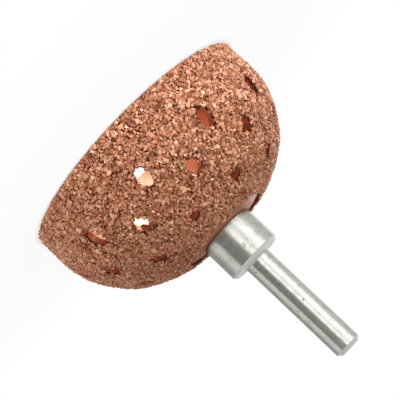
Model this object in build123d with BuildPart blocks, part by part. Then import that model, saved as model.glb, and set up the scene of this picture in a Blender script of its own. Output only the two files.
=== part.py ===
from build123d import *
from math import acos, asin, cos, degrees, pi, radians, sin, sqrt, tan
import os

# Bowl-shaped buffing cup on a collared arbor, standing on its rim.
# The rim lies in the XY plane, the origin is the rim's centre and +Z runs up the shank.
# All sizes are in millimetres and all angles in degrees.

# Pressed steel cup: a straight skirt, a shoulder arc, a conical flank, a knee arc
# and a crown arc that ends at the flat seat. The radii are those of the outer face.
cup_diameter = 54.0
cup_height = 25.7
sheet_thickness = 1.6
shoulder_radius = 16.3
flank_angle = 36.0
flank_length = 2.4
knee_radius = 11.9
knee_end_angle = 53.0
crown_radius = 25.4
seat_margin = 0.15

# Vent holes, punched in the flat blank and drawn out with it, in three staggered rows.
# Distances run along the outer face from the rim. Lengths run along it too.
holes_per_row = 10
first_hole_angle = 25.2
first_row_distance = 11.2
first_row_width = 2.8
first_row_length = 4.8
middle_row_distance = 17.0
middle_row_width = 3.2
middle_row_length = 3.7
last_row_distance = 24.5
last_row_width = 2.8
last_row_length = 2.8

# Brazed coat of carbide grit over the outside of the cup.
grit_thickness = 1.0
grit_inner_diameter = 20.6
grit_edge_thickness = 0.4
grit_edge_taper = 1.8
grit_hole_margin = 0.1

# Arbor: one turned piece with a shank, a collar and a threaded stud.
shank_diameter = 6.0
shank_length = 26.0
shank_chamfer = 0.8
root_fillet = 0.7
collar_diameter = 12.3
collar_length = 8.6
collar_chamfer = 0.5
collar_base_chamfer = 0.3
stud_diameter = 6.0
stud_tail = 2.0
stud_chamfer = 0.8

# Fastening inside the cup: a plain washer, a split lock washer and a hexagon nut.
centre_hole_clearance = 0.1
washer_diameter = 12.0
washer_thickness = 1.6
washer_clearance = 0.2
lock_washer_width = 2.6
lock_washer_thickness = 1.6
lock_washer_clearance = 0.1
lock_washer_slit = 0.8
lock_washer_slant = 20.0
nut_across_flats = 10.0
nut_height = 5.2
nut_face_diameter = 9.4
nut_chamfer_angle = 30.0
thread_clearance = 0.05

# Radii and heights worked out from the sizes above.
cup_radius = cup_diameter / 2
stud_radius = stud_diameter / 2
seat_radius = max(collar_diameter, washer_diameter) / 2 + seat_margin
flank_slope = radians(flank_angle)
knee_slope = radians(knee_end_angle)
shoulder_run = shoulder_radius * (1 - cos(flank_slope))
shoulder_rise = shoulder_radius * sin(flank_slope)
flank_run = flank_length * sin(flank_slope)
flank_rise = flank_length * cos(flank_slope)
knee_run = knee_radius * (cos(flank_slope) - cos(knee_slope))
knee_rise = knee_radius * (sin(knee_slope) - sin(flank_slope))
knee_end_radius = cup_radius - shoulder_run - flank_run - knee_run
crown_centre_radius = knee_end_radius - crown_radius * cos(knee_slope)
crown_slope = acos((seat_radius - crown_centre_radius) / crown_radius)
crown_rise = crown_radius * (sin(crown_slope) - sin(knee_slope))
crown_centre_height = cup_height - crown_radius * sin(crown_slope)
skirt_height = cup_height - shoulder_rise - flank_rise - knee_rise - crown_rise
collar_top = cup_height + collar_length
washer_top = cup_height - sheet_thickness
lock_washer_top = washer_top - washer_thickness
nut_top = lock_washer_top - lock_washer_thickness
nut_bottom = nut_top - nut_height
stud_end = nut_bottom - stud_tail
grit_inner_radius = grit_inner_diameter / 2
grit_taper_radius = grit_inner_radius + grit_edge_taper
punch_standoff = 2 * grit_thickness
punch_depth = punch_standoff + 2 * sheet_thickness

os.makedirs("parts", exist_ok=True)


def draw_meridian(outset):
    """Draw the cup's half section from rim to seat, parallel to the outer face of the steel."""
    edge_radius = cup_radius + outset
    skirt = Line((edge_radius, 0), (edge_radius, skirt_height))
    shoulder = JernArc(skirt @ 1, skirt % 1, shoulder_radius + outset, flank_angle)
    flank = Line(shoulder @ 1, shoulder @ 1 + shoulder % 1 * flank_length)
    knee = JernArc(flank @ 1, flank % 1, knee_radius + outset, knee_end_angle - flank_angle)
    radius = crown_radius + outset
    seat_angle = degrees(asin((cup_height + outset - crown_centre_height) / radius))
    crown = JernArc(knee @ 1, knee % 1, radius, seat_angle - knee_end_angle)
    return skirt @ 0, crown @ 1


def crown_height(radius, outset):
    """Give the height of the crown, or of a face parallel to it, at a distance from the axis."""
    reach = radius - crown_centre_radius
    return crown_centre_height + sqrt((crown_radius + outset) ** 2 - reach**2)


def draw_section(inner_outset, outer_outset):
    """Draw the closed half section of a layer that lies between two such meridians."""
    outer_rim, outer_seat = draw_meridian(outer_outset)
    inner_rim, inner_seat = draw_meridian(inner_outset)
    Line(outer_rim, inner_rim)
    Polyline(outer_seat, (0, outer_seat.Y), (0, inner_seat.Y), inner_seat)


def row_planes(row, distance):
    """Give the planes that one row of vents is punched from, square to the cup and clear of it."""
    with BuildLine(mode=Mode.PRIVATE) as meridian:
        draw_meridian(0)
    outline = meridian.wires()[0]
    centre = outline.position_at(distance, position_mode=PositionMode.LENGTH)
    along = outline.tangent_at(distance, position_mode=PositionMode.LENGTH)
    planes = []
    for hole in range(holes_per_row):
        turn = radians(first_hole_angle) + 2 * pi * (hole + row / 2) / holes_per_row
        origin = (centre.X * cos(turn), centre.X * sin(turn), centre.Y)
        sideways = (-sin(turn), cos(turn), 0)
        outward = (along.Y * cos(turn), along.Y * sin(turn), -along.X)
        planes.append(Plane(origin=origin, x_dir=sideways, z_dir=outward).offset(punch_standoff))
    return planes


# Each row of vents as its planes, its hole width and its hole length.
vent_rows = (
    (row_planes(0, first_row_distance), first_row_width, first_row_length),
    (row_planes(1, middle_row_distance), middle_row_width, middle_row_length),
    (row_planes(2, last_row_distance), last_row_width, last_row_length),
)

# Cup shell: the drawn and punched steel bowl, open at the rim.
with BuildPart() as cup_shell:
    with BuildSketch(Plane.XZ):
        with BuildLine():
            draw_section(-sheet_thickness, 0)
        make_face()
    revolve(axis=Axis.Z)
    with Locations(Plane.XY.offset(cup_height)):
        Hole(radius=stud_radius + centre_hole_clearance)
    for planes, width, length in vent_rows:
        with BuildSketch(*planes):
            Ellipse(width / 2, length / 2)
        extrude(amount=-punch_depth, mode=Mode.SUBTRACT)
cup_shell.part.label = "cup_shell"
export_step(cup_shell.part, "parts/cup_shell.step")

# Grit coat: the abrasive layer, pierced at each vent, which thins out before the bare seat.
with BuildPart() as grit_coat:
    with BuildSketch(Plane.XZ):
        with BuildLine():
            draw_section(0, grit_thickness)
        make_face()
    revolve(axis=Axis.Z)
    with Locations(Plane.XY.offset(cup_height + grit_thickness)):
        Hole(radius=grit_inner_radius)
    with BuildSketch(Plane.XZ):
        with BuildLine():
            Polyline(
                (grit_inner_radius, crown_height(grit_inner_radius, 0) + grit_edge_thickness),
                (grit_taper_radius, crown_height(grit_taper_radius, grit_thickness)),
                (grit_taper_radius, cup_height + punch_standoff),
                (grit_inner_radius, cup_height + punch_standoff),
                close=True,
            )
        make_face()
    revolve(axis=Axis.Z, mode=Mode.SUBTRACT)
    for planes, width, length in vent_rows:
        with BuildSketch(*planes):
            Ellipse(width / 2 + grit_hole_margin, length / 2 + grit_hole_margin)
        extrude(amount=-punch_depth, mode=Mode.SUBTRACT)
grit_coat.part.label = "grit_coat"
export_step(grit_coat.part, "parts/grit_coat.step")

# Arbor: the collar first, then the shank above it and the stud below.
with BuildPart() as arbor:
    with BuildSketch(Plane.XY.offset(cup_height)):
        Circle(collar_diameter / 2)
    extrude(amount=collar_length)
    chamfer(arbor.edges().group_by(Axis.Z)[-1], length=collar_chamfer)
    chamfer(arbor.edges().group_by(Axis.Z)[0], length=collar_base_chamfer)
    with BuildSketch(Plane.XY.offset(collar_top)):
        Circle(shank_diameter / 2)
    extrude(amount=shank_length)
    root = arbor.edges().filter_by_position(Axis.Z, collar_top, collar_top)
    fillet(root.sort_by(SortBy.RADIUS)[0], radius=root_fillet)
    chamfer(arbor.edges().group_by(Axis.Z)[-1], length=shank_chamfer)
    with BuildSketch(Plane.XY.offset(stud_end)):
        Circle(stud_radius)
    extrude(until=Until.NEXT)
    chamfer(arbor.edges().group_by(Axis.Z)[0], length=stud_chamfer)
arbor.part.label = "arbor"
export_step(arbor.part, "parts/arbor.step")

# Plain washer: lies flat against the inside of the seat.
with BuildPart() as plain_washer:
    with BuildSketch(Plane.XY.offset(lock_washer_top)):
        Circle(washer_diameter / 2)
        Circle(stud_radius + washer_clearance, mode=Mode.SUBTRACT)
    extrude(amount=washer_thickness)
plain_washer.part.label = "plain_washer"
export_step(plain_washer.part, "parts/plain_washer.step")

# Lock washer: a square-section spring ring, pressed flat, with a slanted slit.
with BuildPart() as lock_washer:
    bore_radius = stud_radius + lock_washer_clearance
    ring_radius = bore_radius + lock_washer_width
    with BuildSketch(Plane.XY.offset(nut_top)):
        Circle(ring_radius)
        Circle(bore_radius, mode=Mode.SUBTRACT)
    extrude(amount=lock_washer_thickness)
    slit_centre = ((bore_radius + ring_radius) / 2, 0, nut_top + lock_washer_thickness / 2)
    with Locations(Location(slit_centre, (lock_washer_slant, 0, 0))):
        Box(ring_radius, lock_washer_slit, ring_radius, mode=Mode.SUBTRACT)
lock_washer.part.label = "lock_washer"
export_step(lock_washer.part, "parts/lock_washer.step")

# Hexagon nut: both faces chamfered down to a round face.
with BuildPart() as hex_nut:
    with BuildSketch(Plane.XY.offset(nut_bottom)):
        RegularPolygon(radius=nut_across_flats / 2, side_count=6, major_radius=False)
    extrude(amount=nut_height)
    corner_radius = nut_across_flats / 2 / cos(pi / 6)
    face_radius = nut_face_diameter / 2
    corner_drop = (corner_radius - face_radius) * tan(radians(nut_chamfer_angle))
    with BuildSketch(Plane.XZ):
        with BuildLine():
            Polyline(
                (0, nut_bottom),
                (face_radius, nut_bottom),
                (corner_radius, nut_bottom + corner_drop),
                (corner_radius, nut_top - corner_drop),
                (face_radius, nut_top),
                (0, nut_top),
                close=True,
            )
        make_face()
    revolve(axis=Axis.Z, mode=Mode.INTERSECT)
    with Locations(Plane.XY.offset(nut_top)):
        Hole(radius=stud_radius + thread_clearance)
hex_nut.part.label = "hex_nut"
export_step(hex_nut.part, "parts/hex_nut.step")
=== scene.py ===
import math

import bpy
import numpy as np
from mathutils import Euler, Matrix, Vector


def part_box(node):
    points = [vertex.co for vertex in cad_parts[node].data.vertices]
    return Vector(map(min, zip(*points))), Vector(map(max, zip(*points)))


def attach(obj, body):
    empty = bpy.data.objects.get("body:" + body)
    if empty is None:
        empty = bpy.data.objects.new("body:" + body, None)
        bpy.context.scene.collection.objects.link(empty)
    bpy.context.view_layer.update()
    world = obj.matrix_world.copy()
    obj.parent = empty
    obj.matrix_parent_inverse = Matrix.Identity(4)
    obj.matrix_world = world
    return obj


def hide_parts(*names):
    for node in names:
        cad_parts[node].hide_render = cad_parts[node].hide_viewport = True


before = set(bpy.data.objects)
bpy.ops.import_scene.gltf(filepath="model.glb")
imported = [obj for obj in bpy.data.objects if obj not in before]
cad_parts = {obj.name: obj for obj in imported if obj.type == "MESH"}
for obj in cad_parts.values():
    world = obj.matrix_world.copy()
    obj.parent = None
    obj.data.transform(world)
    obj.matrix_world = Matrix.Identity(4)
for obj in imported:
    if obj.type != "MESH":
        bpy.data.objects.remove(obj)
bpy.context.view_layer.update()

# Dressed model of the buffing cup. It stands on its rim with the shank up. All lengths are metres.
mm = 0.001
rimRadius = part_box("cup_shell")[1].x
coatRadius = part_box("grit_coat")[1].x
coatThickness = coatRadius - rimRadius


def deselectAll():
    bpy.ops.object.select_all(action="DESELECT")


class Wire:
    # An output socket whose operators add Math nodes, so that shader maths reads as plain sums
    def __init__(self, shader, socket):
        self.shader, self.socket = shader, socket

    def sum(self, operation, first, second=0.0, clamp=False):
        settings = {"operation": operation, "use_clamp": clamp}
        return self.shader.node("ShaderNodeMath", settings, {0: first, 1: second})

    def __add__(self, other):
        return self.sum("ADD", self, other)

    def __radd__(self, other):
        return self.sum("ADD", other, self)

    def __sub__(self, other):
        return self.sum("SUBTRACT", self, other)

    def __rsub__(self, other):
        return self.sum("SUBTRACT", other, self)

    def __mul__(self, other):
        return self.sum("MULTIPLY", self, other)

    def __rmul__(self, other):
        return self.sum("MULTIPLY", other, self)

    def __truediv__(self, other):
        return self.sum("DIVIDE", self, other)

    def clamped(self):
        return self.sum("ADD", self, 0.0, clamp=True)

    def step(self, low, high):
        # 0 below low, 1 above high and a straight ramp between
        return ((self - low) / (high - low)).clamped()


class Shader:
    # The nodes of a material or world, with one maker for every kind of node
    def __init__(self, owner):
        owner.use_nodes = True
        self.owner = owner
        self.tree = owner.node_tree
        self.tree.nodes.clear()

    def node(self, kind, settings=None, values=None, output=0):
        made = self.tree.nodes.new(kind)
        for name, value in (settings or {}).items():
            setattr(made, name, value)
        for name, value in (values or {}).items():
            if isinstance(value, Wire):
                self.tree.links.new(value.socket, made.inputs[name])
            elif isinstance(value, tuple) and made.inputs[name].type == "RGBA":
                made.inputs[name].default_value = (*value, 1.0)
            else:
                made.inputs[name].default_value = value
        return Wire(self, made.outputs[output]) if made.outputs else None

    def place(self):
        return self.node("ShaderNodeTexCoord", output="Object")

    def stretched(self, scale):
        return self.node("ShaderNodeMapping", {}, {"Vector": self.place(), "Scale": scale})

    def split(self, vector, axis):
        return self.node("ShaderNodeSeparateXYZ", {}, {0: vector}, output=axis)

    def noise(self, vector, scale, detail=3.0, roughness=0.5):
        values = {"Vector": vector, "Scale": scale, "Detail": detail, "Roughness": roughness}
        return self.node("ShaderNodeTexNoise", {}, values)

    def mix(self, factor, first, second):
        values = {"Factor": factor, 6: first, 7: second}
        return self.node("ShaderNodeMix", {"data_type": "RGBA"}, values, output=2)

    def vector(self, operation, values, output=0):
        return self.node("ShaderNodeVectorMath", {"operation": operation}, values, output)

    def bump(self, height, distance, strength):
        values = {"Height": height, "Distance": distance, "Strength": strength}
        return self.node("ShaderNodeBump", {}, values)

    def surface(self, values):
        shine = self.node("ShaderNodeBsdfPrincipled", {}, values)
        self.node("ShaderNodeOutputMaterial", {}, {"Surface": shine})
        return self.owner


def dress(node, material):
    # A CAD node keeps its mesh and gets the finish in its own slot
    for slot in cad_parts[node].material_slots:
        slot.material = material


# Camera: looks along +Y and a little down, rolled so that the shank points to the lower right.
# The picture's right is then a mix of the world's -X and +Z.
camera = {
    "distance": 285.45 * mm,
    "height": 64.25 * mm,
    "sideways": -0.80 * mm,
    "tilt": 9.272,
    "lens": 127.4,
    "sensor": 36.0,
    "axisAngle": 43.4,
    "clip": (10 * mm, 20.0),
}


def placeCamera():
    tilt = math.radians(camera["tilt"])
    roll = math.radians(camera["axisAngle"])
    forward = Vector((0, math.cos(tilt), -math.sin(tilt)))
    along = Vector((0, math.sin(tilt), math.cos(tilt)))
    across = Vector((-1, 0, 0))
    right = math.cos(roll) * along + math.sin(roll) * across
    up = math.cos(roll) * across - math.sin(roll) * along
    turned = Matrix((right, up, -forward)).transposed().to_4x4()
    turned.translation = (camera["sideways"], -camera["distance"], camera["height"])
    data = bpy.data.cameras.new("camera")
    data.lens = camera["lens"]
    data.sensor_width = camera["sensor"]
    data.clip_start, data.clip_end = camera["clip"]
    made = bpy.data.objects.new("camera", data)
    bpy.context.collection.objects.link(made)
    made.matrix_world = turned
    bpy.context.scene.camera = made


placeCamera()
print("camera placed")


# Abrasive coat: crushed grains in two sizes, bedded side by side on the steel.
# Tops are shares of the coat's thickness, and shares at the edges are of the edge margin.
grit = {
    "seed": 11,
    "coarseShapes": 8,
    "coarseCuts": 6,
    "coarseSpacing": 0.5 * mm,
    "coarseSize": (0.56 * mm, 1.12 * mm),
    "coarseTop": (0.66, 1.0),
    "fineShapes": 5,
    "fineCuts": 2,
    "fineSpacing": 0.36 * mm,
    "fineSize": (0.38 * mm, 0.6 * mm),
    "fineTop": (0.35, 0.7),
    "cutReach": (0.36, 0.5),  # how far from a chip's middle its corners are sliced off
    "stretch": (0.62, 1.2),
    "throws": 5,  # random points tried for each grain's worth of steel
    "edgeMargin": 0.17 * mm,
    "edgeShare": (0.2, 1.2),
    "edgeSize": 0.75,  # how large a grain is right at an edge
    "overhang": 0.2 * mm,
    "tipGap": 0.01 * mm,
    "sectors": 5,
}
chance = np.random.default_rng(grit["seed"])
nextCells = [(i, j, k) for i in (-1, 0, 1) for j in (-1, 0, 1) for k in (-1, 0, 1)]


def makeChip(cuts):
    # A unit cube with random corners sliced off, as its points and triangles
    deselectAll()
    bpy.ops.mesh.primitive_cube_add(size=1)
    chip = bpy.context.object
    bpy.ops.object.mode_set(mode="EDIT")
    for cut in range(cuts):
        facing = chance.normal(size=3)
        facing /= np.linalg.norm(facing)
        cutPoint = facing * chance.uniform(*grit["cutReach"])
        bpy.ops.mesh.select_all(action="SELECT")
        bpy.ops.mesh.bisect(plane_co=cutPoint, plane_no=facing, use_fill=True, clear_outer=True)
    bpy.ops.mesh.select_all(action="SELECT")
    bpy.ops.mesh.dissolve_degenerate(threshold=0.02)
    bpy.ops.mesh.select_all(action="SELECT")
    bpy.ops.mesh.quads_convert_to_tris()
    bpy.ops.mesh.normals_make_consistent(inside=False)
    bpy.ops.object.mode_set(mode="OBJECT")
    points = np.array([v.co for v in chip.data.vertices])
    faces = np.array([list(p.vertices) for p in chip.data.polygons])
    points /= np.abs(points).max() * 2
    bpy.data.objects.remove(chip)
    return points, faces


def coatSeat():
    # The steel's outer face under the coat, read from the inner face of the coat's own mesh:
    # the triangles that face the middle of the bowl
    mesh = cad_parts["grit_coat"].data
    mesh.calc_loop_triangles()
    points = np.array([v.co for v in mesh.vertices])
    faces = np.array([t.vertices[:] for t in mesh.loop_triangles])
    corners = points[faces]
    normals = np.cross(corners[:, 1] - corners[:, 0], corners[:, 2] - corners[:, 0])
    areas = np.linalg.norm(normals, axis=1) / 2
    normals /= np.maximum(2 * areas, 1e-15)[:, None]
    bowlMiddle = np.array((0, 0, rimRadius / 5))
    outward = corners.mean(axis=1) - bowlMiddle
    outward /= np.linalg.norm(outward, axis=1)[:, None]
    wellInward = -0.6
    inner = (normals * outward).sum(axis=1) < wellInward
    return corners[inner], -normals[inner], areas[inner]


def seatEdges(corners):
    # Points along the open edges that grains keep off: the vents and the bare ring, but not the rim
    weld, pace = 0.002 * mm, 0.1 * mm
    keys = np.round(corners / weld).astype(np.int64)
    seen = {}
    for triangle in range(len(keys)):
        for side in range(3):
            start = tuple(keys[triangle, side])
            end = tuple(keys[triangle, (side + 1) % 3])
            pair = (start, end) if start < end else (end, start)
            seen.setdefault(pair, []).append((triangle, side))
    found = []
    for sides in seen.values():
        if len(sides) == 1:
            triangle, side = sides[0]
            start, end = corners[triangle, side], corners[triangle, (side + 1) % 3]
            steps = max(2, int(np.linalg.norm(end - start) / pace))
            found += [start + (end - start) * t for t in np.linspace(0, 1, steps)]
    found = np.array(found)
    return found[found[:, 2] > grit["edgeMargin"]]


def nearestEdge(points, edges, reach):
    # Distance and way of each point to the nearest edge point, by a grid of cells of that reach
    cells = {}
    for index, cell in enumerate(map(tuple, np.floor(edges / reach).astype(int))):
        cells.setdefault(cell, []).append(index)
    distances = np.full(len(points), reach)
    ways = np.zeros((len(points), 3))
    for index, (i, j, k) in enumerate(np.floor(points / reach).astype(int)):
        near = [e for a, b, c in nextCells for e in cells.get((i + a, j + b, k + c), ())]
        if near:
            offsets = edges[near] - points[index]
            lengths = np.linalg.norm(offsets, axis=1)
            closest = lengths.argmin()
            if lengths[closest] < reach:
                distances[index] = lengths[closest]
                ways[index] = offsets[closest] / max(lengths[closest], 1e-9)
    return distances, ways


def spreadPoints(seat, spacing):
    # Random points on the seat, none nearer to another than the spacing
    corners, normals, areas = seat
    count = int(areas.sum() / spacing**2 * grit["throws"])
    chosen = chance.choice(len(areas), count, p=areas / areas.sum())
    first, second = chance.random((2, count))
    folded = first + second > 1
    first[folded], second[folded] = 1 - first[folded], 1 - second[folded]
    origin = corners[chosen, 0]
    points = origin + first[:, None] * (corners[chosen, 1] - origin)
    points += second[:, None] * (corners[chosen, 2] - origin)
    cells, kept = {}, []
    for index, (i, j, k) in enumerate(np.floor(points / spacing).astype(int).tolist()):
        near = [n for a, b, c in nextCells for n in cells.get((i + a, j + b, k + c), ())]
        gaps = points[near] - points[index]
        if not near or (gaps * gaps).sum(axis=1).min() > spacing**2:
            cells.setdefault((i, j, k), []).append(index)
            kept.append(index)
    return points[kept], normals[chosen[kept]]


def layGrains(seat, edges, kind):
    # One size of grain as point, face, tone and height arrays, grain by grain
    shapes = [makeChip(grit[kind + "Cuts"]) for shape in range(grit[kind + "Shapes"])]
    centres, normals = spreadPoints(seat, grit[kind + "Spacing"])
    reach = 2 * grit["edgeMargin"]
    margin, ways = nearestEdge(centres, edges, reach)
    inside = margin > grit["edgeMargin"] * chance.uniform(*grit["edgeShare"], len(centres))
    centres, normals = centres[inside], normals[inside]
    margin, ways = margin[inside], ways[inside]
    lean = grit["overhang"] * chance.random(len(centres)) * (margin < reach)
    centres = centres + ways * lean[:, None]
    taken = []
    for centre, normal, near in zip(centres, normals, margin):
        points, faces = shapes[chance.integers(len(shapes))]
        size = chance.uniform(*grit[kind + "Size"])
        size *= grit["edgeSize"] + (1 - grit["edgeSize"]) * near / reach
        turned = np.array(Euler(chance.uniform(0, 2 * math.pi, 3)).to_matrix())
        stretch = chance.uniform(*grit["stretch"], 3)
        placed = (points * stretch) @ turned.T * size
        top = coatThickness * chance.uniform(*grit[kind + "Top"])
        lift = top - (placed @ normal).max()
        placed = placed + centre + normal * lift
        placed[:, 2] += max(0.0, -placed[:, 2].min())
        height = (placed - centre) @ normal / coatThickness
        taken.append((placed, faces, np.full(len(placed), chance.random()), height))
    return taken


def holdInside(points):
    # No tip passes the coat's own radius
    reach = np.hypot(points[:, 0], points[:, 1])
    limit = coatRadius - grit["tipGap"]
    scale = np.where(reach > limit, limit / np.maximum(reach, limit), 1.0)
    points[:, :2] *= scale[:, None]
    return points


def joinGrains(grains, name):
    starts = np.cumsum([0] + [len(g[0]) for g in grains[:-1]])
    points = holdInside(np.concatenate([g[0] for g in grains]))
    faces = np.concatenate([g[1] + start for g, start in zip(grains, starts)])
    mesh = bpy.data.meshes.new(name)
    mesh.from_pydata(points.tolist(), [], faces.tolist())
    for label, column in (("tone", 2), ("height", 3)):
        values = np.concatenate([g[column] for g in grains]).astype(np.float32)
        mesh.attributes.new(label, "FLOAT", "POINT").data.foreach_set("value", values)
    mesh.update()
    piece = bpy.data.objects.new(name, mesh)
    bpy.context.collection.objects.link(piece)
    return piece


# Colours of the grains: a low and a high one where noise mixes two, and ranges of height or of noise
gritLook = {
    # Darker braze colour for the grains' low parts, partly painted shade in the gaps
    "brazeAndPaintedShade": ((0.20, 0.05, 0.018), (0.28, 0.088, 0.038)),
    "copper": ((0.50, 0.215, 0.117), (0.58, 0.27, 0.152)),
    "rose": (0.75, 0.455, 0.32),
    "dark": (0.30, 0.11, 0.065),
    "lifted": (0.15, 0.7),
    "rise": (5 * mm, 25 * mm),
    # Painted light paler near the rim and painted shade darker towards the crown
    "rimPaintedLight": (1.12, 1.12, 1.11),
    "crownPaintedShade": (0.76, 0.70, 0.64),
    "patchScale": 160.0,
    "speckleScale": 2600.0,
    "lessMetal": 0.22,
    "glaze": 0.7,
    "glazeRoughness": 0.3,
    "roughness": 0.35,
    "crownRoughness": 0.22,
    "speckleRoughness": 0.3,
    "bumpHeight": 0.05 * mm,
    "bumpStrength": 0.35,
}


def gritFinish():
    # Braze in the gaps and on the grains' flanks, darkened there as painted shade; copper to rose on
    # their tops; rougher higher up, with painted shade darker towards the crown and painted light
    # paler near the rim
    look = gritLook
    shader = Shader(bpy.data.materials.new("brazedGrit"))
    tone = shader.node("ShaderNodeAttribute", {"attribute_name": "tone"}, output="Fac")
    height = shader.node("ShaderNodeAttribute", {"attribute_name": "height"}, output="Fac")
    patches = shader.noise(shader.place(), look["patchScale"], 2.0)
    speckle = shader.noise(shader.place(), look["speckleScale"], 2.0)
    brazeAndPaintedShade = shader.mix(patches.step(0.35, 0.65), *look["brazeAndPaintedShade"])
    copper = shader.mix(patches.step(0.4, 0.7), *look["copper"])
    rose = shader.mix(tone.step(0.5, 1.0), copper, look["rose"])
    top = shader.mix(tone.step(0.0, 0.12), look["dark"], rose)
    lifted = height.step(*look["lifted"])
    # Low on the grains the darker braze colour is partly painted shade
    colour = shader.mix(lifted, brazeAndPaintedShade, top)
    rise = shader.split(shader.place(), 2).step(*look["rise"])
    # Painted light and shade by height: the tint is paler near the rim and darker, greyer towards
    # the crown
    tint = shader.mix(rise, look["rimPaintedLight"], look["crownPaintedShade"])
    roughness = look["roughness"] + look["crownRoughness"] * rise
    return shader.surface({
        "Base Color": shader.vector("MULTIPLY", {0: colour, 1: tint}),
        "Metallic": 1 - look["lessMetal"] * lifted,
        "Coat Weight": look["glaze"] * speckle * lifted,
        "Coat Roughness": look["glazeRoughness"],
        "Roughness": roughness + look["speckleRoughness"] * speckle,
        "Normal": shader.bump(speckle, look["bumpHeight"], look["bumpStrength"]),
    })


def buildGrit():
    seat = coatSeat()
    edges = seatEdges(seat[0])
    grains = layGrains(seat, edges, "coarse") + layGrains(seat, edges, "fine")
    material = gritFinish()
    fullTurn = 2 * math.pi
    turns = [math.atan2(g[0][0][1], g[0][0][0]) % fullTurn / fullTurn for g in grains]
    for sector in range(grit["sectors"]):
        share = [g for g, turn in zip(grains, turns) if int(turn * grit["sectors"]) == sector]
        piece = joinGrains(share, f"grit_sector_{sector + 1}")
        piece.data.materials.append(material)
        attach(piece, "root")
        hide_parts("grit_coat")
        print(piece.name, len(share), "grains", len(piece.data.polygons), "faces")


buildGrit()
print("grit laid")


# Cup: copper film on pressed steel. Sides are ranges of X and the braze starts at a radius.
cupLook = {
    "middle": (0, 0, 5 * mm),
    # Painted light: the inner film is painted cream on the +X side, where light falls in the bowl
    "paintedLitCream": ((0.74, 0.50, 0.35), (0.86, 0.64, 0.47)),
    "film": (0.57, 0.19, 0.11),
    "paintedLightSide": (-6 * mm, 2 * mm),
    # Painted shade: the vents' walls, which face neither in nor out, are darker
    "wall": (0.41, 0.125, 0.072),
    "ring": ((0.47, 0.17, 0.09), (0.27, 0.09, 0.047)),
    # Painted highlight: the ring is paler on the -X side
    "paintedSheen": (0.70, 0.40, 0.30),
    "paintedSheenSide": (-9 * mm, -5 * mm),
    # Dark braze colour under the grains, partly painted shade between them
    "bedBrazeAndShade": (0.17, 0.06, 0.035),
    "brazeStart": (10.6 * mm, 11.5 * mm),
    "ringScale": 1800.0,
    "cloudScale": 350.0,
    "metallic": 0.75,
    "roughness": 0.34,
    "cloudRoughness": 0.16,
    "ringRoughness": 0.34,
    "sheenSideShine": 0.08,
    "bumpHeight": 0.02 * mm,
    "bumpStrength": 0.4,
}


def cupFinish():
    # Red film inside, painted cream as painted light on the +X side; vent walls darker as painted
    # shade; dark braze under the grains, partly painted shade; and a turned ring, smoother and
    # painted paler on one side as a painted highlight
    look = cupLook
    shader = Shader(bpy.data.materials.new("copperedSteel"))
    spot = shader.place()
    across = shader.split(spot, 0)
    normal = shader.node("ShaderNodeNewGeometry", output="Normal")
    facing = shader.vector("NORMALIZE", {0: shader.vector("SUBTRACT", {0: spot, 1: look["middle"]})})
    outer = shader.vector("DOT_PRODUCT", {0: facing, 1: normal}, output=1)
    flat = shader.vector("MULTIPLY", {0: spot, 1: (1, 1, 0)})
    radius = shader.vector("LENGTH", {0: flat}, output=1)
    bedded = outer.step(0.2, 0.4) * radius.step(*look["brazeStart"])
    ringValues = {"W": radius * look["ringScale"], "Scale": 1.0}
    rings = shader.node("ShaderNodeTexNoise", {"noise_dimensions": "1D"}, ringValues)
    cloud = shader.noise(spot, look["cloudScale"], 4.0)
    paintedLitCream = shader.mix(cloud.step(0.3, 0.7), *look["paintedLitCream"])
    # Painted light: cream on the +X side, the film's red on the other
    film = shader.mix(across.step(*look["paintedLightSide"]), look["film"], paintedLitCream)
    turned = shader.mix(rings.step(0.35, 0.75), *look["ring"])
    # Painted highlight: paler ring colour on the -X side, where the ring is also smoother
    dull = across.step(*look["paintedSheenSide"])
    bare = shader.mix(dull, look["paintedSheen"], turned)
    # Painted shade: faces that point neither in nor out, mostly the vents' walls, get the darker
    # wall colour
    wall = shader.mix(outer.step(-0.75, -0.5), film, look["wall"])
    exposed = outer.step(0.3, 0.5)
    skin = shader.mix(exposed, wall, bare)
    roughness = look["roughness"] + look["cloudRoughness"] * cloud
    return shader.surface({
        # Under the grains the dark braze colour is partly painted shade
        "Base Color": shader.mix(bedded, skin, look["bedBrazeAndShade"]),
        "Metallic": look["metallic"],
        "Roughness": roughness + exposed * (look["ringRoughness"] * dull - look["sheenSideShine"]),
        "Normal": shader.bump(rings, look["bumpHeight"], look["bumpStrength"]),
    })


# Steels as finish name, colour and roughness, and what they share
steels = {
    "arbor": ("turnedSteel", (0.63, 0.63, 0.60), 0.13),
    "plain_washer": ("platedSteel", (0.62, 0.62, 0.60), 0.25),
    "lock_washer": ("springSteel", (0.22, 0.22, 0.23), 0.3),
}
steelLook = {
    "marksStretch": (60, 60, 5200),
    "smearStretch": (260, 260, 700),
    "mottleStretch": (1, 1, 0.6),
    "mottleScale": 1500.0,
    "pitScale": 1500.0,
    "stain": 0.3,
    "stainShade": 0.62,
    "pit": (0.10, 0.095, 0.085),
    # Painted light: up-facing ends and chamfers are painted paler
    "end": (0.95, 0.95, 0.92),
    "endPaintedLight": 0.75,
    "endRoughness": 0.3,
    "marksRoughness": 0.12,
    "smearRoughness": 0.05,
    "marksHeight": 0.5,
    "mottleHeight": 1.5,
    "bumpHeight": 0.025 * mm,
    "bumpStrength": 0.5,
}


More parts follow.
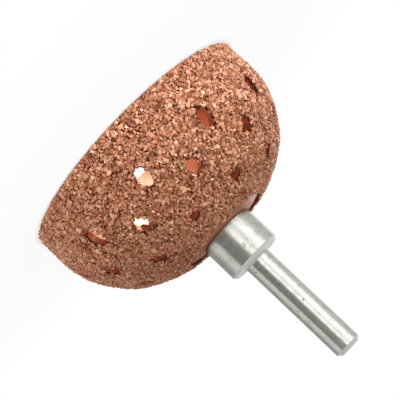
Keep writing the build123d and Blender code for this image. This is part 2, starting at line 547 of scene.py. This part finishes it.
def steelFinish(name, colour, roughness):
    # Turned or rolled steel with fine marks round the axis, a mottle and a few dark pits.
    # Its ends and chamfers that face up are duller, and painted paler: painted light.
    look = steelLook
    shader = Shader(bpy.data.materials.new(name))
    marks = shader.noise(shader.stretched(look["marksStretch"]), 1.0, 4.0, 0.65)
    smear = shader.noise(shader.stretched(look["smearStretch"]), 1.0, 3.0)
    mottle = shader.noise(shader.stretched(look["mottleStretch"]), look["mottleScale"], 3.0, 0.7)
    pits = shader.noise(shader.place(), look["pitScale"], 3.0)
    stains = smear.step(0.35, 0.75) * look["stain"] + mottle.step(0.5, 0.62) * look["stain"]
    stained = shader.mix(stains, colour, tuple(c * look["stainShade"] for c in colour))
    shade = shader.mix(pits.step(0.67, 0.71), stained, look["pit"])
    normal = shader.node("ShaderNodeNewGeometry", output="Normal")
    ends = shader.split(normal, 2).step(0.5, 0.65)
    relief = marks * look["marksHeight"] + smear + mottle * look["mottleHeight"]
    worn = roughness + look["marksRoughness"] * marks + look["smearRoughness"] * smear
    return shader.surface({
        # Painted light: faces that point up get the paler end colour
        "Base Color": shader.mix(ends * look["endPaintedLight"], shade, look["end"]),
        "Metallic": 1.0,
        "Roughness": worn + look["endRoughness"] * ends,
        "Normal": shader.bump(relief, look["bumpHeight"], look["bumpStrength"]),
    })


dress("cup_shell", cupFinish())
for node, look in steels.items():
    dress(node, steelFinish(*look))
dress("hex_nut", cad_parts["plain_washer"].material_slots[0].material)
print("finishes given")


# Studio: pale floor, white surroundings, and soft boxes that stand low on both sides of the camera.
# Cards that only reflections see stand round the tool, as the dark and bright sides of a room do.
studio = {
    "floorSize": 8.0,
    "floorColour": (0.86, 0.86, 0.86),
    "floorGlow": 0.92,  # how white the camera sees the floor beside the tool; it is 1 further out
    "floorClean": (42 * mm, 100 * mm),
    # Painted shadow: the floor's dark colour under the bowl, which only the camera sees
    "coveredPaintedShadow": (0.12, 0.07, 0.05),
    "coveredReach": (25 * mm, 29 * mm),
    "patchBack": (14 * mm, 18 * mm),
    "patchLeft": (-1 * mm, 1 * mm),
    "patchRight": (8 * mm, 10 * mm),
    "wallLight": 1.15,
    "ceilingLight": 0.4,
    "ceilingRise": (0.15, 0.5),
    "cardRadius": 110 * mm,
    "cardHeight": 78 * mm,
    "cardColour": (1.0, 0.99, 0.935),
    "cardStep": 6.0,
}
# Soft boxes as place, aim, width, height, power and tint, in mm and W. The last stands small in the
# cup's mouth, and brings the inner wall to the brightness that the vents show.
lamps = {
    "rightLight": ((-450, -120, 80), (0, 0, 18), 260, 80, 0.66, (0.96, 1.0, 1.04)),
    "frontRightLight": ((-380, -290, 80), (0, 0, 18), 260, 80, 1.47, (0.95, 1.0, 1.05)),
    "frontLeftLight": ((240, -410, 150), (0, 0, 18), 560, 220, 1.32, (1.0, 0.92, 0.84)),
    "mouthLight": ((-15, 0, 1), (20, 9, 9), 9, 9, 0.013, (1.0, 0.97, 0.9)),
}
# Reflected cards as the angles they span, from the camera towards -X, and their brightness
cards = {
    "shade_card": (-165, -108, 0.36),
    "edge_card": (-108, -92, 0.6),
    "left_card": (-92, -60, 0.84),
    "dark_card": (-60, -16, 0.13),
    "olive_card": (-16, -1, 0.25),
    "bright_card": (-1, 20, 1.6),
    "pale_card": (20, 74, 1.02),
    "right_card": (74, 138, 0.66),
    "rim_card": (138, 176, 1.0),
}


def addLight(name, place, aim, width, height, power, tint):
    data = bpy.data.lights.new(name, "AREA")
    data.shape = "RECTANGLE"
    data.size = width * mm
    data.size_y = height * mm
    data.energy = power
    data.color = tint
    lamp = bpy.data.objects.new(name, data)
    bpy.context.collection.objects.link(lamp)
    lamp.location = Vector(place) * mm
    lamp.rotation_euler = (Vector(aim) - Vector(place)).to_track_quat("-Z", "Y").to_euler()
    lamp.visible_camera = False


def standCard(name, start, end, glow):
    # An upright strip of card, bent round the object, that only reflections see
    deselectAll()
    bpy.ops.mesh.primitive_plane_add(size=studio["cardHeight"], rotation=(math.pi / 2, 0, 0))
    card = bpy.context.object
    card.name = name
    first = math.radians(-90 - start)
    edge = Vector((math.cos(first), math.sin(first), 0)) * studio["cardRadius"]
    edge.z = studio["cardHeight"] / 2
    bpy.ops.object.transform_apply(rotation=True)
    bpy.ops.object.mode_set(mode="EDIT")
    bpy.ops.mesh.delete(type="ONLY_FACE")
    bpy.ops.mesh.select_all(action="DESELECT")
    bpy.ops.object.mode_set(mode="OBJECT")
    for vertex in card.data.vertices:
        vertex.select = vertex.co.x < 0
        if vertex.select:
            vertex.co = Vector((edge.x, edge.y, vertex.co.z + edge.z))
    bpy.ops.object.mode_set(mode="EDIT")
    bpy.ops.mesh.select_all(action="INVERT")
    bpy.ops.mesh.delete(type="VERT")
    bpy.ops.mesh.select_all(action="SELECT")
    steps = math.ceil((end - start) / studio["cardStep"])
    turn = math.radians(end - start)
    bpy.ops.mesh.spin(steps=steps, angle=turn, center=(0, 0, 0), axis=(0, 0, 1))
    bpy.ops.object.mode_set(mode="OBJECT")
    shader = Shader(bpy.data.materials.new(name))
    card.data.materials.append(shader.surface({
        "Base Color": (0, 0, 0),
        "Emission Color": studio["cardColour"],
        "Emission Strength": glow,
    }))
    card.visible_camera = False
    card.visible_diffuse = False
    card.visible_shadow = False


def buildStudio():
    deselectAll()
    bpy.ops.mesh.primitive_plane_add(size=studio["floorSize"])
    floor = bpy.context.object
    floor.name = "floor"
    shader = Shader(bpy.data.materials.new("paleFloor"))
    pale = shader.node("ShaderNodeBsdfDiffuse", {}, {"Color": studio["floorColour"]})
    dim = shader.node("ShaderNodeBsdfDiffuse", {}, {"Color": studio["coveredPaintedShadow"]})
    glow = shader.node("ShaderNodeEmission", {}, {"Color": (1.0, 1.0, 1.0)})
    seen = shader.node("ShaderNodeLightPath", output="Is Camera Ray")
    spot = shader.place()
    away = shader.vector("LENGTH", {0: spot}, output=1)
    clean = away.step(*studio["floorClean"])
    # The camera sees the floor under the bowl painted dark, a painted shadow, but for the patch that
    # one vent looks out on
    side, back = shader.split(spot, 0), shader.split(spot, 1)
    patch = back.step(*studio["patchBack"]) * side.step(*studio["patchLeft"])
    patch = patch * (1 - side.step(*studio["patchRight"]))
    covered = (1 - away.step(*studio["coveredReach"])) * (1 - patch)
    share = (studio["floorGlow"] + clean * (1 - studio["floorGlow"])) * (1 - covered)
    ground = shader.node("ShaderNodeMixShader", {}, {0: seen * covered, 1: pale, 2: dim})
    both = shader.node("ShaderNodeMixShader", {}, {0: seen * share, 1: ground, 2: glow})
    shader.node("ShaderNodeOutputMaterial", {}, {"Surface": both})
    floor.data.materials.append(shader.owner)

    for name, spec in lamps.items():
        addLight(name, *spec)
    for name, spec in cards.items():
        standCard(name, *spec)

    world = bpy.data.worlds.new("room")
    bpy.context.scene.world = world
    room = Shader(world)
    watched = room.node("ShaderNodeLightPath", output="Is Camera Ray")
    direction = room.node("ShaderNodeTexCoord", output="Generated")
    overhead = room.split(direction, 2).step(*studio["ceilingRise"])
    shaded = studio["wallLight"] - overhead * (studio["wallLight"] - studio["ceilingLight"])
    strength = shaded + watched * (1 - shaded)
    light = room.node("ShaderNodeBackground", {}, {"Color": (1.0, 1.0, 1.0), "Strength": strength})
    room.node("ShaderNodeOutputWorld", {}, {"Surface": light})
    bpy.context.scene.view_settings.view_transform = "Standard"


buildStudio()
print("studio built")
